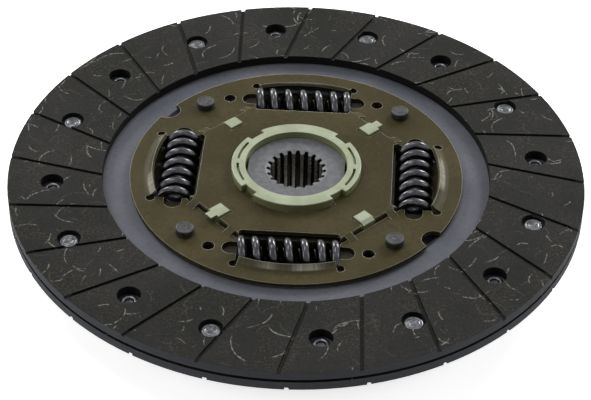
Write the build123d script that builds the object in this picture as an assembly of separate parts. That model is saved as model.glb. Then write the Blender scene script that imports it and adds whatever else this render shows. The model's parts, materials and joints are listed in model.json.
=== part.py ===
"""Clutch disc with a coil-spring torsion damper, for a 215 mm dry single-plate clutch.

Axis Z, up towards the side that shows the raised spring windows and the moulded bush.
Z = 0 is the rear end of the hub. The spring windows lie on the X and Y axes.
All sizes are in millimetres and all angles in degrees.
"""

from build123d import *
from math import asin, atan2, cos, degrees, pi, radians, sin, sqrt, tan
import os

# ---------------------------------------------------------------- driving dimensions

# friction facings
FACING_OUTER_DIAMETER = 215.0
FACING_COVER_GAP = 10.2         # from the front cover's rim out to the facings' bore
FACING_THICKNESS = 3.4
GROOVE_COUNT = 24
GROOVE_WIDTH = 1.5
GROOVE_DEPTH = 0.9
GROOVE_OFFSET = 24.4            # distance from the axis to each groove's centre line
FRONT_GROOVE_START = 0.5        # angle of a groove's outer end, front facing
REAR_GROOVE_START = 2.0         # the same, rear facing

# facing rivets: each facing has its own ring of them, and clearance holes for the other's
RIVET_CIRCLE_OFFSET = 1.0       # outward from the middle of the facing's width
RIVET_COUNT = 8
FRONT_RIVET_START = 30.0
REAR_RIVET_START = 9.0
RIVET_SHANK_DIAMETER = 4.5
RIVET_HEAD_DIAMETER = 7.0
RIVET_HEAD_THICKNESS = 0.8
RIVET_TAIL_DIAMETER = 6.6
RIVET_TAIL_THICKNESS = 1.1
RIVET_HOLLOW_DIAMETER = 3.0
RIVET_HOLLOW_DEPTH = 0.5
COUNTERBORE_CLEARANCE = 0.8     # round the rivet head
COUNTERBORE_FLOOR = 1.5         # facing left under the rivet head

# cushion disc between the facings
CUSHION_SHEET = 0.8
CUSHION_WAVE = 0.2              # how far each half of a paddle stands off the middle plane
CUSHION_RING_LAP = 4.5          # how far the ring runs in behind the facings
PADDLE_SETBACK = 1.5            # of the paddles' ends from the facings' rim
CUSHION_SLOT_WIDTH = 3.0
CUSHION_RAMP_WIDTH = 16.0       # width of the slope between a paddle's two pads
CUSHION_DISH_WIDTH = 3.4
CUSHION_DISH_CLEARANCE = 0.6    # between the stop pins' bodies and the start of the dish
CUSHION_BORE_MARGIN = 2.0       # metal left inside the stop pins' bodies
CUSHION_ROOT_OVERLAP = 3.0      # how far each paddle runs into the ring
CUSHION_SPRING_ROOM = 0.5       # round the spring windows

# heights, measured from the middle plane of the facings
MIDDLE_PLANE = 22.0             # height of that plane above the hub's rear end
HUB_FRONT = 4.4
FLANGE_TOP = 0.7
FLANGE_COVER_GAP = 0.35         # between the hub flange and the front cover's outer zone
PLATE_GAP = 0.4                 # axial gap between the hub flange and the cushion disc

# damper springs
SPRING_CIRCLE_RADIUS = 44.4
SPRING_AXIS_HEIGHT = -0.4       # from the middle plane
SPRING_LENGTH = 36.8
SPRING_OUTER_DIAMETER = 14.0
SPRING_WIRE = 3.2
SPRING_TURNS = 6.5
TIP_RISE_IN_WIRES = 0.19        # rise of the quarter turn at each tip
END_PITCH_IN_WIRES = 1.62       # pitch of the whole turn after it
GROUND_DEPTH_IN_WIRES = 0.25    # ground off each end
NEST_CLEARANCE = 0.3            # radial, round an inner spring
INNER_SPRING_WIRE = 1.5
INNER_SPRING_TURNS = 13.5

# cover plates
COVER_SHEET = 1.6
COVER_STEP = 1.45               # height of the raised middle
COVER_RIM = 5.0                 # from the lips' feet out to the rim
STEP_RUN = 1.1                  # width of the front cover's slope round the raised middle
STEP_BEYOND_LUG_HOLE = 0.2      # from a lug hole's outer side to the foot of that slope
STEP_WALL = 0.4                 # how much further in the slope starts on the inner face
RETAINER_SHEET = 1.8
RETAINER_STEP = 2.4
RETAINER_RIM = 4.1

# where the front cover's slope is sheared open on the diagonals, between two ribs
SHEAR_WIDTH = 1.0
SHEAR_FOOT = 0.2                # how far the opening runs out past the slope
RIB_FROM_WINDOW = 4.5           # from where the slope meets a window to the rib's centre line
RIB_WIDTH = 3.4
RIB_RUN = 2.6                   # how far each rib runs out past the slope
RIB_HOLLOW_WIDTH = 1.8

# spring windows
WINDOW_SIDE_CLEARANCE = 1.4     # from a spring to the inner edge and the outer corners
WINDOW_END_CLEARANCE = 0.05     # between a spring's end and the window's end wall
WINDOW_CORNER_CUT = 1.2         # height of the sloping inner corners
WINDOW_CORNER_LENGTH = 0.75     # their length along the spring
RELIEF_DIAMETER = 3.4           # holes in the outer corners
RELIEF_BEYOND_END = 0.55        # from the window's end wall to their centres
HALF_MOON_REACH = 5.45          # from the window's end wall
HALF_MOON_WIDTH = 6.6
RETAINER_WINDOW_CLEARANCE = 0.4
RETAINER_RELIEF_DIAMETER = 4.0  # holes in the inner corners of the retainer's windows
RETAINER_RELIEF_INSET = 1.0     # from the window's end wall back to their centres

# louvre lip over the outer side of each spring
COVER_LIP_BEYOND_CORNER = 2.705861  # from the spring's outer corners to the circle of the lip's foot
RETAINER_LIP_BEYOND_CORNER = 1.305861
LIP_RUN = 3.3                   # from the lip's foot in to its edge
LIP_RISE = 2.15                 # above the plate's outer face
LIP_SHEET = 1.4
LIP_CROWN = 0.5                 # how far the lip bulges out of a straight slope
LIP_END_GAP = 0.17              # from the window's end wall to the lip's end

# stop pins
STOP_PIN_BEYOND_SPRINGS = 9.1   # from the springs' circle to the pins' circle
STOP_PIN_BODY_DIAMETER = 9.0
STOP_PIN_SHANK_DIAMETER = 5.2
STOP_PIN_HEAD_DIAMETER = 6.7
STOP_PIN_HEAD_HEIGHT = 2.85
STOP_PIN_DIMPLE_DIAMETER = 1.4
STOP_PIN_DIMPLE_DEPTH = 0.25
PIN_HEAD_FILLET = 0.35

# holes and notches in the front cover
LOCATING_HOLE_DIAMETER = 4.5
LOCATING_HOLE_BEYOND_SPRINGS = 8.2   # from the springs' circle
LOCATING_HOLE_BEYOND_MOON = 4.9      # sideways, from the half-moon's end
RIM_NOTCH_DIAMETER = 9.2
RIM_NOTCH_ANGLE = 33.3          # below the X axis, and opposite

# hub and its flange
HUB_NOSE_DIAMETER = 38.0
HUB_FLAT_DEPTH = 0.9
HUB_SHOULDER_WIDTH = 3.0        # beyond the nose
HUB_SHOULDER_THICKNESS = 1.8
HUB_TAIL_DIAMETER = 35.0
HUB_EDGE_CHAMFER = 0.6
SPLINE_TEETH = 20
SPLINE_MAJOR_DIAMETER = 22.4
SPLINE_DEPTH = 1.4
SPLINE_SLOT_AT_MINOR = 1.9
SPLINE_SLOT_AT_MAJOR = 1.25
BORE_MOUTH_WIDTH = 0.5          # of the chamfer outside the spline's slots
BORE_MOUTH_DEPTH = 0.7
FLANGE_THICKNESS = 2.8
FLANGE_BEYOND_PINS = 2.1        # from the pins' circle to the flange's rim
FLANGE_SLOT_CLEARANCE = 0.4     # from a spring to the inner edge of its slot
DAMPER_TRAVEL = 8.0             # each way
STOP_CLEARANCE = 0.35           # between pin and notch at the end of the travel

# moulded friction bush in the front cover
BUSH_BORE_CLEARANCE = 0.1       # radial, on the hub
BUSH_COLLAR_WALL = 3.2
BUSH_LOBE_WIDTH = 2.0           # beyond the collar
BUSH_LOBE_HALF_ANGLE = 37.4
BUSH_PROUD = 2.8                # above the raised middle of the cover
BUSH_FLANGE_SETBACK = 2.0       # from the windows' inner edges
BUSH_EAR_WIDTH = 9.0
BUSH_EAR_CLEARANCE = 0.2        # inside the slope of the cover
BUSH_RUNNING_GAP = 0.05         # axial, to the hub flange and to the cover
BUSH_SLOT_SETBACK = 0.4         # from the collar's outside to the middle of the arc slots
BUSH_SLOT_WIDTH = 1.0
BUSH_SLOT_DEPTH = 1.8
BUSH_SLOT_FROM = 4.5            # angles either side of the lobe's middle
BUSH_SLOT_TO = 29.5
BUSH_EDGE_FILLET = 0.35
COVER_HOLE_CLEARANCE = 0.3      # round the bush's collar and lobes
COVER_RECESS_GAP = 0.9          # at the ends of the two lobes that pass through
LUG_BEYOND_WINDOW = 1.3         # from the windows' inner edges out to the lugs' circle
LUG_SIDE = 5.6
LUG_HOLE_CLEARANCE = 0.5        # round each lug
LUG_PROUD = 0.7                 # above the raised middle of the cover
HOOK_REACH = 2.6                # outward nose on two of the lugs
HOOK_WIDTH = 3.4
HOOK_GAP = 0.1                  # between a hook and the cover
HOOK_NECK = 0.6                 # how far the hook's root overlaps its lug
LUG_RAMP_RUN = 1.6              # sloping outer side of the two lugs with no hook
LUG_RAMP_DROP = 1.0

# rear friction parts, between the hub flange and the retainer plate
REAR_BUSH_WALL = 2.9
REAR_BUSH_FLANGE_GAP = 0.6      # between its flange and the washers
REAR_BUSH_FLANGE_THICKNESS = 1.6
WASHER_BORE_GAP = 3.6           # round the hub's shoulder
WASHER_SETBACK = 1.0            # from the windows' inner edges
FRICTION_WASHER_THICKNESS = 1.5
DRIVE_WASHER_THICKNESS = 0.6
WAVE_WASHER_SHEET = 0.6
WAVE_COUNT = 3
DRIVE_TAB_WIDTH = 5.0
RUNNING_GAP = 0.05              # axial, between parts that rub
SEAT_GAP = 0.1                  # radial, between parts that locate one another

# angles about Z
WINDOW_AXES = [0, 90, 180, 270]
DIAGONALS = [45, 135, 225, 315]
INNER_SPRING_WINDOWS = [90, 270]
BUSH_SLOTTED_LOBES = [0, 180]
BUSH_THROUGH_LOBES = [90, 270]
HOOKED_LUGS = [45, 225]
RAMPED_LUGS = [135, 315]

MARGIN = 1.0                    # how far a cutting tool runs past what it cuts

# ---------------------------------------------------------------- derived sizes

# heights from the middle plane, front to back
facing_back = CUSHION_SHEET / 2 + CUSHION_WAVE
cover_back = FLANGE_TOP + FLANGE_COVER_GAP
cover_face = cover_back + COVER_SHEET
cover_raised_back = cover_back + COVER_STEP
cover_raised_face = cover_face + COVER_STEP
bush_top = cover_raised_face + BUSH_PROUD
lug_top = cover_raised_face + LUG_PROUD
flange_bottom = FLANGE_TOP - FLANGE_THICKNESS
cushion_seat_top = flange_bottom - PLATE_GAP
retainer_front = cushion_seat_top - CUSHION_SHEET
retainer_back = retainer_front - RETAINER_SHEET
retainer_raised_front = retainer_front - RETAINER_STEP
retainer_raised_back = retainer_back - RETAINER_STEP

# springs, windows and pins
spring_radius = SPRING_OUTER_DIAMETER / 2
inner_spring_diameter = SPRING_OUTER_DIAMETER - 2 * SPRING_WIRE - 2 * NEST_CLEARANCE
window_half_length = SPRING_LENGTH / 2 + WINDOW_END_CLEARANCE
window_inner = SPRING_CIRCLE_RADIUS - spring_radius - WINDOW_SIDE_CLEARANCE
window_corner = SPRING_CIRCLE_RADIUS + spring_radius + WINDOW_SIDE_CLEARANCE
spring_corner_radius = sqrt((SPRING_CIRCLE_RADIUS + spring_radius) ** 2 + (SPRING_LENGTH / 2) ** 2)
cover_lip_foot = spring_corner_radius + COVER_LIP_BEYOND_CORNER
retainer_lip_foot = spring_corner_radius + RETAINER_LIP_BEYOND_CORNER
cover_radius = cover_lip_foot + COVER_RIM
retainer_radius = retainer_lip_foot + RETAINER_RIM
pin_circle = SPRING_CIRCLE_RADIUS + STOP_PIN_BEYOND_SPRINGS
flange_radius = pin_circle + FLANGE_BEYOND_PINS

# facings and cushion disc
facing_outer_radius = FACING_OUTER_DIAMETER / 2
facing_inner_radius = cover_radius + FACING_COVER_GAP
rivet_circle = (facing_outer_radius + facing_inner_radius) / 2 + RIVET_CIRCLE_OFFSET
counterbore_diameter = RIVET_HEAD_DIAMETER + 2 * COUNTERBORE_CLEARANCE
cushion_ring_radius = facing_inner_radius + CUSHION_RING_LAP
paddle_reach = facing_outer_radius - PADDLE_SETBACK
cushion_bore_radius = pin_circle - STOP_PIN_BODY_DIAMETER / 2 - CUSHION_BORE_MARGIN
cushion_dish_start = pin_circle + STOP_PIN_BODY_DIAMETER / 2 + CUSHION_DISH_CLEARANCE
paddle_pitch = 360 / RIVET_COUNT
paddle_middle = (FRONT_RIVET_START + REAR_RIVET_START) / 2

# hub, bushes and washers
hub_nose_radius = HUB_NOSE_DIAMETER / 2
hub_flat = hub_nose_radius - HUB_FLAT_DEPTH
hub_shoulder_radius = hub_nose_radius + HUB_SHOULDER_WIDTH
spline_major_radius = SPLINE_MAJOR_DIAMETER / 2
spline_minor_radius = spline_major_radius - SPLINE_DEPTH
bush_bore_radius = hub_nose_radius + BUSH_BORE_CLEARANCE
bush_collar_radius = bush_bore_radius + BUSH_COLLAR_WALL
bush_lobe_radius = bush_collar_radius + BUSH_LOBE_WIDTH
lug_circle = window_inner + LUG_BEYOND_WINDOW
lug_hole_side = LUG_SIDE + 2 * LUG_HOLE_CLEARANCE
step_foot = lug_circle + lug_hole_side / 2 + STEP_BEYOND_LUG_HOLE
rib_distance = step_foot - sqrt(2) * window_half_length - RIB_FROM_WINDOW
bush_ear_reach = step_foot - STEP_WALL - STEP_RUN - BUSH_EAR_CLEARANCE
rear_bush_bore_radius = HUB_TAIL_DIAMETER / 2 + BUSH_BORE_CLEARANCE
rear_bush_sleeve_radius = rear_bush_bore_radius + REAR_BUSH_WALL
washer_inner_radius = hub_shoulder_radius + WASHER_BORE_GAP
rear_bush_flange_radius = washer_inner_radius - REAR_BUSH_FLANGE_GAP
washer_outer_radius = window_inner - WASHER_SETBACK
drive_tab_radius = washer_outer_radius - DRIVE_WASHER_THICKNESS / 2


# ---------------------------------------------------------------- shared shapes


def at_height(z):
    """A place on the axis at a height above the facings' middle plane."""
    return Pos(0, 0, MIDDLE_PLANE + z)


def ring(outer_radius, inner_radius, bottom, top):
    """A flat ring about Z between two heights above the middle plane."""
    return at_height(bottom) * extrude(Circle(outer_radius) - Circle(inner_radius), amount=top - bottom)


def disc(radius, bottom, top):
    """A round disc about Z between two heights above the middle plane."""
    return at_height(bottom) * extrude(Circle(radius), amount=top - bottom)


def upright(sketch, bottom, top):
    """A sketch on XY raised between two heights above the middle plane."""
    return at_height(bottom) * extrude(sketch, amount=top - bottom)


def copies(shape, angles):
    """The shape turned about Z to each of the angles."""
    return [Rot(0, 0, angle) * shape for angle in angles]


def even_angles(count, start=0.0):
    """Angles of a circular pattern."""
    return [start + 360 / count * i for i in range(count)]


def around(sketch, radius, angles):
    """A sketch copied to points on a circle about Z, turned to face outward."""
    return [Rot(0, 0, angle) * Pos(radius, 0, 0) * sketch for angle in angles]


def sector(outer_radius, inner_radius, half_angle):
    """A flat ring sector centred on X."""
    tip = outer_radius / cos(radians(half_angle)) + MARGIN
    rise = tip * tan(radians(half_angle))
    wedge = make_face(Polyline((0, 0), (tip, -rise), (tip, rise), (0, 0)))
    return (Circle(outer_radius) - Circle(inner_radius)) & wedge


def arc_slot(radius, width, start, end):
    """A round-ended slot along an arc about Z."""
    middle = (start + end) / 2
    half = (end - start) / 2
    band = Rot(0, 0, middle) * sector(radius + width / 2, radius - width / 2, half)
    ends = around(Circle(width / 2), radius, [start, end])
    return band + ends


def write(part, name):
    """Writes one sub-part to its own file."""
    part.label = name
    export_step(part, f"parts/{name}.step")


# ---------------------------------------------------------------- facings and rivets


def facing(groove_start, own_rivets, other_rivets):
    """One friction ring, wear face up, with its back at Z = 0."""
    body = extrude(Circle(facing_outer_radius) - Circle(facing_inner_radius), amount=FACING_THICKNESS)
    groove_from = sqrt(facing_inner_radius**2 - GROOVE_OFFSET**2) - MARGIN
    groove_to = sqrt(facing_outer_radius**2 - GROOVE_OFFSET**2) + 2 * MARGIN
    lead = degrees(asin(GROOVE_OFFSET / facing_outer_radius))
    groove = Pos((groove_from + groove_to) / 2, GROOVE_OFFSET, FACING_THICKNESS) * Box(
        groove_to - groove_from, GROOVE_WIDTH, 2 * GROOVE_DEPTH
    )
    body -= copies(groove, even_angles(GROOVE_COUNT, groove_start - lead))
    shank_holes = around(Circle(RIVET_SHANK_DIAMETER / 2), rivet_circle, own_rivets)
    clearance_holes = around(Circle(counterbore_diameter / 2), rivet_circle, other_rivets)
    counterbores = around(Circle(counterbore_diameter / 2), rivet_circle, own_rivets)
    body -= extrude(Sketch() + shank_holes + clearance_holes, amount=FACING_THICKNESS)
    body -= Pos(0, 0, COUNTERBORE_FLOOR) * extrude(Sketch() + counterbores, amount=FACING_THICKNESS)
    return body


def facing_rivet():
    """A tubular rivet, its head up, seated on the counterbore's floor, with Z = 0 at the facing's back."""
    head_seat = COUNTERBORE_FLOOR
    head = Pos(0, 0, head_seat) * extrude(Circle(RIVET_HEAD_DIAMETER / 2), amount=RIVET_HEAD_THICKNESS)
    head = fillet(head.edges().group_by(Axis.Z)[-1], RIVET_HEAD_THICKNESS / 2)
    shank = Pos(0, 0, -CUSHION_SHEET) * extrude(
        Circle(RIVET_SHANK_DIAMETER / 2), amount=CUSHION_SHEET + head_seat
    )
    tail_bottom = -CUSHION_SHEET - RIVET_TAIL_THICKNESS
    tail = Pos(0, 0, tail_bottom) * extrude(Circle(RIVET_TAIL_DIAMETER / 2), amount=RIVET_TAIL_THICKNESS)
    tail = fillet(tail.edges().group_by(Axis.Z)[0], RIVET_TAIL_THICKNESS / 2)
    hollow = Circle(RIVET_HOLLOW_DIAMETER / 2)
    head_top = head_seat + RIVET_HEAD_THICKNESS
    dimple = Pos(0, 0, head_top - RIVET_HOLLOW_DEPTH) * extrude(hollow, amount=RIVET_HOLLOW_DEPTH)
    bore = Pos(0, 0, tail_bottom) * extrude(hollow, amount=RIVET_TAIL_THICKNESS)
    return head + shank + tail - dimple - bore


def facing_rivets(angles):
    """The rivets of one facing, as one group of separate solids."""
    rivet = facing_rivet()
    return Compound([Rot(0, 0, angle) * Pos(rivet_circle, 0, 0) * rivet for angle in angles])


# ---------------------------------------------------------------- cushion disc


def paddle():
    """One spring-steel paddle on X: two flat pads at two heights, joined by a ramp."""
    root = cushion_ring_radius - CUSHION_ROOT_OVERLAP
    half = paddle_reach * tan(radians(paddle_pitch / 2))
    ramp = CUSHION_RAMP_WIDTH / 2
    low = -CUSHION_WAVE - CUSHION_SHEET / 2
    high = CUSHION_WAVE - CUSHION_SHEET / 2
    under = [(-half, low), (-ramp, low), (ramp, high), (half, high)]
    over = [(y, z + CUSHION_SHEET) for y, z in reversed(under)]
    section = make_face(Polyline(*under, *over, under[0]))
    sheet = extrude(Plane.YZ * section, amount=paddle_reach + MARGIN)
    outline = sector(paddle_reach, root, paddle_pitch / 2)
    slot = Pos(paddle_reach / 2, 0, 0) * Rectangle(2 * paddle_reach, CUSHION_SLOT_WIDTH)
    outline -= copies(slot, [-paddle_pitch / 2, paddle_pitch / 2])
    return sheet & Pos(0, 0, -CUSHION_SHEET) * extrude(outline, amount=2 * CUSHION_SHEET)


def cushion_disc():
    """The wavy spring-steel disc that carries both facings, dished back to the retainer plate."""
    half = CUSHION_SHEET / 2
    seat = cushion_seat_top
    under = [
        (cushion_bore_radius, seat - CUSHION_SHEET),
        (cushion_dish_start, seat - CUSHION_SHEET),
        (cushion_dish_start + CUSHION_DISH_WIDTH, -half),
        (cushion_ring_radius, -half),
    ]
    over = [(r, z + CUSHION_SHEET) for r, z in reversed(under)]
    section = make_face(Polyline(*under, *over, under[0]))
    body = revolve(Plane.XZ * section, Axis.Z)
    body = body + copies(paddle(), even_angles(RIVET_COUNT, paddle_middle))
    rivet_angles = even_angles(RIVET_COUNT, FRONT_RIVET_START) + even_angles(RIVET_COUNT, REAR_RIVET_START)
    holes = around(Circle(RIVET_SHANK_DIAMETER / 2), rivet_circle, rivet_angles)
    holes += around(Circle(STOP_PIN_SHANK_DIAMETER / 2), pin_circle, DIAGONALS)
    spring_room = copies(cover_window(CUSHION_SPRING_ROOM), WINDOW_AXES)
    deep = 2 * abs(seat)
    body -= Pos(0, 0, -deep) * extrude(Sketch() + holes + spring_room, amount=2 * deep)
    return at_height(0) * body


# ---------------------------------------------------------------- cover plates


def window_outline(inner, outer, lip_foot, grow=0.0):
    """A spring window centred on X: a straight inner edge, end walls, and a round outside under the lip."""
    half = window_half_length + grow
    outline = [
        (inner - grow, half - WINDOW_CORNER_LENGTH),
        (inner - grow + WINDOW_CORNER_CUT, half),
        (outer, half),
    ]
    mirrored = [(x, -y) for x, y in reversed(outline)]
    ends = make_face(Polyline(*outline, *mirrored, outline[0]))
    under_lip = sector(lip_foot - LIP_SHEET / 2, SPRING_CIRCLE_RADIUS, lip_half_angle(lip_foot))
    relief_half = window_half_length + RELIEF_BEYOND_END
    reliefs = [Pos(outer, side * relief_half) * Circle(RELIEF_DIAMETER / 2) for side in (-1, 1)]
    return ends + under_lip + reliefs


def cover_window(grow=0.0):
    """A window of the front cover, wide enough to show the whole spring."""
    return window_outline(window_inner, window_corner, cover_lip_foot, grow)


def retainer_window():
    """A window of the retainer plate, just wider than the springs are where they dip into it."""
    inner = SPRING_CIRCLE_RADIUS - spring_half_width(retainer_raised_front) - RETAINER_WINDOW_CLEARANCE
    outer = SPRING_CIRCLE_RADIUS + spring_half_width(retainer_front) + RETAINER_WINDOW_CLEARANCE
    window = window_outline(inner, outer, retainer_lip_foot)
    relief_half = window_half_length - RETAINER_RELIEF_INSET
    return window + [
        Pos(inner, side * relief_half) * Circle(RETAINER_RELIEF_DIAMETER / 2) for side in (-1, 1)
    ]


def spring_half_width(height):
    """Half the width of a spring at a height from the middle plane, and nothing below its reach."""
    return sqrt(max(spring_radius**2 - (SPRING_AXIS_HEIGHT - height) ** 2, 0))


def lip_half_angle(lip_foot):
    """Half the angle that a lip spans, so that it ends just inside the window's end walls."""
    return degrees(asin((window_half_length - LIP_END_GAP) / lip_foot))


def lip(plate_sheet, lip_foot):
    """The pressed lip over the outer side of a spring, on X, standing on a plate whose back is at Z = 0."""
    foot = (lip_foot, plate_sheet)
    edge = (lip_foot - LIP_RUN, plate_sheet + LIP_RISE)
    lean = atan2(LIP_RISE, LIP_RUN)
    inner_edge = (edge[0] - LIP_SHEET * sin(lean), edge[1] - LIP_SHEET * cos(lean))
    inner_foot = (lip_foot - plate_sheet * tan(lean / 2), 0)
    root = lip_foot + MARGIN
    section = make_face(
        [
            Line((root, 0), (root, plate_sheet)),
            Line((root, plate_sheet), foot),
            SagittaArc(foot, edge, LIP_CROWN),
            Line(edge, inner_edge),
            SagittaArc(inner_edge, inner_foot, -LIP_CROWN),
            Line(inner_foot, (root, 0)),
        ]
    )
    half_angle = lip_half_angle(lip_foot)
    return Rot(0, 0, -half_angle) * revolve(Plane.XZ * section, Axis.Z, revolution_arc=2 * half_angle)


def octagon(foot):
    """A square on the diagonals, its corners cut off inside the spring windows."""
    return Rot(0, 0, 45) * Rectangle(2 * foot, 2 * foot) & Rectangle(
        2 * SPRING_CIRCLE_RADIUS, 2 * SPRING_CIRCLE_RADIUS
    )


def pressed_plate(outer_radius, sheet, step, window, lip_foot, openings):
    """A damper side plate with a raised middle and four lipped windows, its back at Z = 0."""
    slope = degrees(atan2(STEP_RUN, COVER_STEP))
    body = extrude(Circle(outer_radius), amount=sheet)
    body += Pos(0, 0, sheet) * extrude(octagon(step_foot), amount=step, taper=slope)
    body -= extrude(octagon(step_foot - STEP_WALL), amount=step, taper=slope)
    body -= extrude(Sketch() + copies(window, WINDOW_AXES), amount=sheet + step)
    body += copies(lip(sheet, lip_foot), WINDOW_AXES)
    pin_holes = around(Circle(STOP_PIN_SHANK_DIAMETER / 2), pin_circle, DIAGONALS)
    return body - extrude(openings + pin_holes, amount=sheet + step)


def half_moons():
    """The round-ended openings that run on past both ends of each window in the front cover."""
    half = window_half_length + HALF_MOON_REACH - HALF_MOON_WIDTH / 2
    slot = Rectangle(HALF_MOON_WIDTH, 2 * half)
    for side in (-1, 1):
        slot += Pos(0, side * half) * Circle(HALF_MOON_WIDTH / 2)
    return around(slot, SPRING_CIRCLE_RADIUS, WINDOW_AXES)


def shear_slits():
    """The sheared openings along the slope, on X: between the ribs, and from each rib to a window."""
    from_rib = rib_distance + RIB_WIDTH / 2
    in_window = sqrt(2) * SPRING_CIRCLE_RADIUS - step_foot
    slits = Sketch() + Rectangle(SHEAR_WIDTH, 2 * rib_distance - RIB_WIDTH)
    for side in (-1, 1):
        slits += Pos(0, side * (in_window + from_rib) / 2) * Rectangle(SHEAR_WIDTH, in_window - from_rib)
    return Pos(step_foot + SHEAR_FOOT - SHEAR_WIDTH / 2, 0) * slits


def rib(width, drop):
    """A rib on X that bridges the slope, standing on the front cover's back and lowered by a distance."""
    top = COVER_SHEET + COVER_STEP - drop
    bottom = COVER_SHEET - drop
    crest = step_foot - STEP_RUN
    profile = [(crest - MARGIN, bottom), (step_foot + RIB_RUN, bottom), (crest, top), (crest - MARGIN, top)]
    section = make_face(Polyline(*profile, profile[0]))
    return extrude(Plane.XZ * section, amount=width / 2, both=True)


def front_cover_plate():
    """The front side plate, with the openings that the moulded bush comes through."""
    lobe_half = BUSH_LOBE_HALF_ANGLE + degrees(COVER_RECESS_GAP / bush_lobe_radius)
    lobe_room = sector(bush_lobe_radius + COVER_HOLE_CLEARANCE, bush_collar_radius - MARGIN, lobe_half)
    openings = Sketch() + half_moons() + Circle(bush_collar_radius + COVER_HOLE_CLEARANCE)
    openings += copies(lobe_room, BUSH_THROUGH_LOBES)
    openings += around(Rectangle(lug_hole_side, lug_hole_side), lug_circle, DIAGONALS)
    openings += copies(shear_slits(), DIAGONALS)
    hole_radius = SPRING_CIRCLE_RADIUS + LOCATING_HOLE_BEYOND_SPRINGS
    hole_side = window_half_length + HALF_MOON_REACH + LOCATING_HOLE_BEYOND_MOON
    hole_angle = degrees(asin(hole_side / hole_radius))
    locating = [sign * hole_angle + base for base in (90, 270) for sign in (-1, 1)]
    openings += around(Circle(LOCATING_HOLE_DIAMETER / 2), hole_radius, locating)
    notch_angles = [-RIM_NOTCH_ANGLE, 180 - RIM_NOTCH_ANGLE]
    openings += around(Circle(RIM_NOTCH_DIAMETER / 2), cover_radius, notch_angles)
    plate = pressed_plate(cover_radius, COVER_SHEET, COVER_STEP, cover_window(), cover_lip_foot, openings)
    places = [Rot(0, 0, angle) * Pos(0, side * rib_distance, 0) for angle in DIAGONALS for side in (-1, 1)]
    plate += [place * rib(RIB_WIDTH, 0) for place in places]
    plate -= [place * rib(RIB_HOLLOW_WIDTH, COVER_SHEET) for place in places]
    return at_height(cover_back) * plate


def rear_cover_plate():
    """The retainer plate on the gearbox side, its face down."""
    openings = Sketch() + Circle(rear_bush_sleeve_radius + SEAT_GAP)
    tab_room = Rectangle(2 * DRIVE_WASHER_THICKNESS, DRIVE_TAB_WIDTH + 2 * SEAT_GAP)
    openings += around(tab_room, drive_tab_radius, DIAGONALS)
    plate = pressed_plate(
        retainer_radius, RETAINER_SHEET, RETAINER_STEP, retainer_window(), retainer_lip_foot, openings
    )
    return at_height(retainer_front) * Rot(180, 0, 0) * plate


# ---------------------------------------------------------------- stop pins


def stop_pin(angle):
    """A shouldered pin that spaces the side plates, headed over at both ends."""
    body = disc(STOP_PIN_BODY_DIAMETER / 2, cushion_seat_top, cover_back)
    shank = disc(STOP_PIN_SHANK_DIAMETER / 2, retainer_back, cover_face)
    front = disc(STOP_PIN_HEAD_DIAMETER / 2, cover_face, cover_face + STOP_PIN_HEAD_HEIGHT)
    front = fillet(front.edges().group_by(Axis.Z)[-1], PIN_HEAD_FILLET)
    rear = disc(STOP_PIN_HEAD_DIAMETER / 2, retainer_back - STOP_PIN_HEAD_HEIGHT, retainer_back)
    rear = fillet(rear.edges().group_by(Axis.Z)[0], PIN_HEAD_FILLET)
    top = cover_face + STOP_PIN_HEAD_HEIGHT
    dimple = at_height(top - STOP_PIN_DIMPLE_DEPTH / 2) * Cone(
        0, STOP_PIN_DIMPLE_DIAMETER / 2, STOP_PIN_DIMPLE_DEPTH
    )
    return Rot(0, 0, angle) * Pos(pin_circle, 0, 0) * (body + shank + front + rear - dimple)


# ---------------------------------------------------------------- hub


def d_outline(radius, flat):
    """A circle with two flats across X."""
    return Circle(radius) & Rectangle(2 * flat, 2 * radius)


def spline_opening():
    """The bore's outline: a round minor bore with a slot between each pair of teeth."""
    slope = (SPLINE_SLOT_AT_MINOR - SPLINE_SLOT_AT_MAJOR) / SPLINE_DEPTH
    inner = spline_minor_radius - MARGIN
    outer = spline_major_radius + MARGIN
    half_inner = (SPLINE_SLOT_AT_MINOR + slope * MARGIN) / 2
    half_outer = (SPLINE_SLOT_AT_MAJOR - slope * MARGIN) / 2
    corners = [(inner, -half_inner), (outer, -half_outer), (outer, half_outer), (inner, half_inner)]
    slot = make_face(Polyline(*corners, corners[0]))
    slots = Sketch() + copies(slot, even_angles(SPLINE_TEETH))
    return (Circle(spline_minor_radius) + slots) & Circle(spline_major_radius)


def splined_hub():
    """The hub: a nose with two flats that drive the flange, a shoulder behind it and a long tail."""
    rear_end = -MIDDLE_PLANE
    shoulder_rear = flange_bottom - HUB_SHOULDER_THICKNESS
    nose = upright(d_outline(hub_nose_radius, hub_flat), flange_bottom, HUB_FRONT)
    shoulder = disc(hub_shoulder_radius, shoulder_rear, flange_bottom)
    tail = disc(HUB_TAIL_DIAMETER / 2, rear_end, shoulder_rear)
    tail = chamfer(tail.edges().group_by(Axis.Z)[0], HUB_EDGE_CHAMFER)
    body = nose + shoulder + tail
    body -= upright(spline_opening(), rear_end, HUB_FRONT)
    mouth = spline_major_radius + BORE_MOUTH_WIDTH
    half_depth = BORE_MOUTH_DEPTH / 2
    front_mouth = at_height(HUB_FRONT - half_depth) * Cone(spline_minor_radius, mouth, BORE_MOUTH_DEPTH)
    rear_mouth = at_height(rear_end + half_depth) * Cone(mouth, spline_minor_radius, BORE_MOUTH_DEPTH)
    return body - front_mouth - rear_mouth


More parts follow.
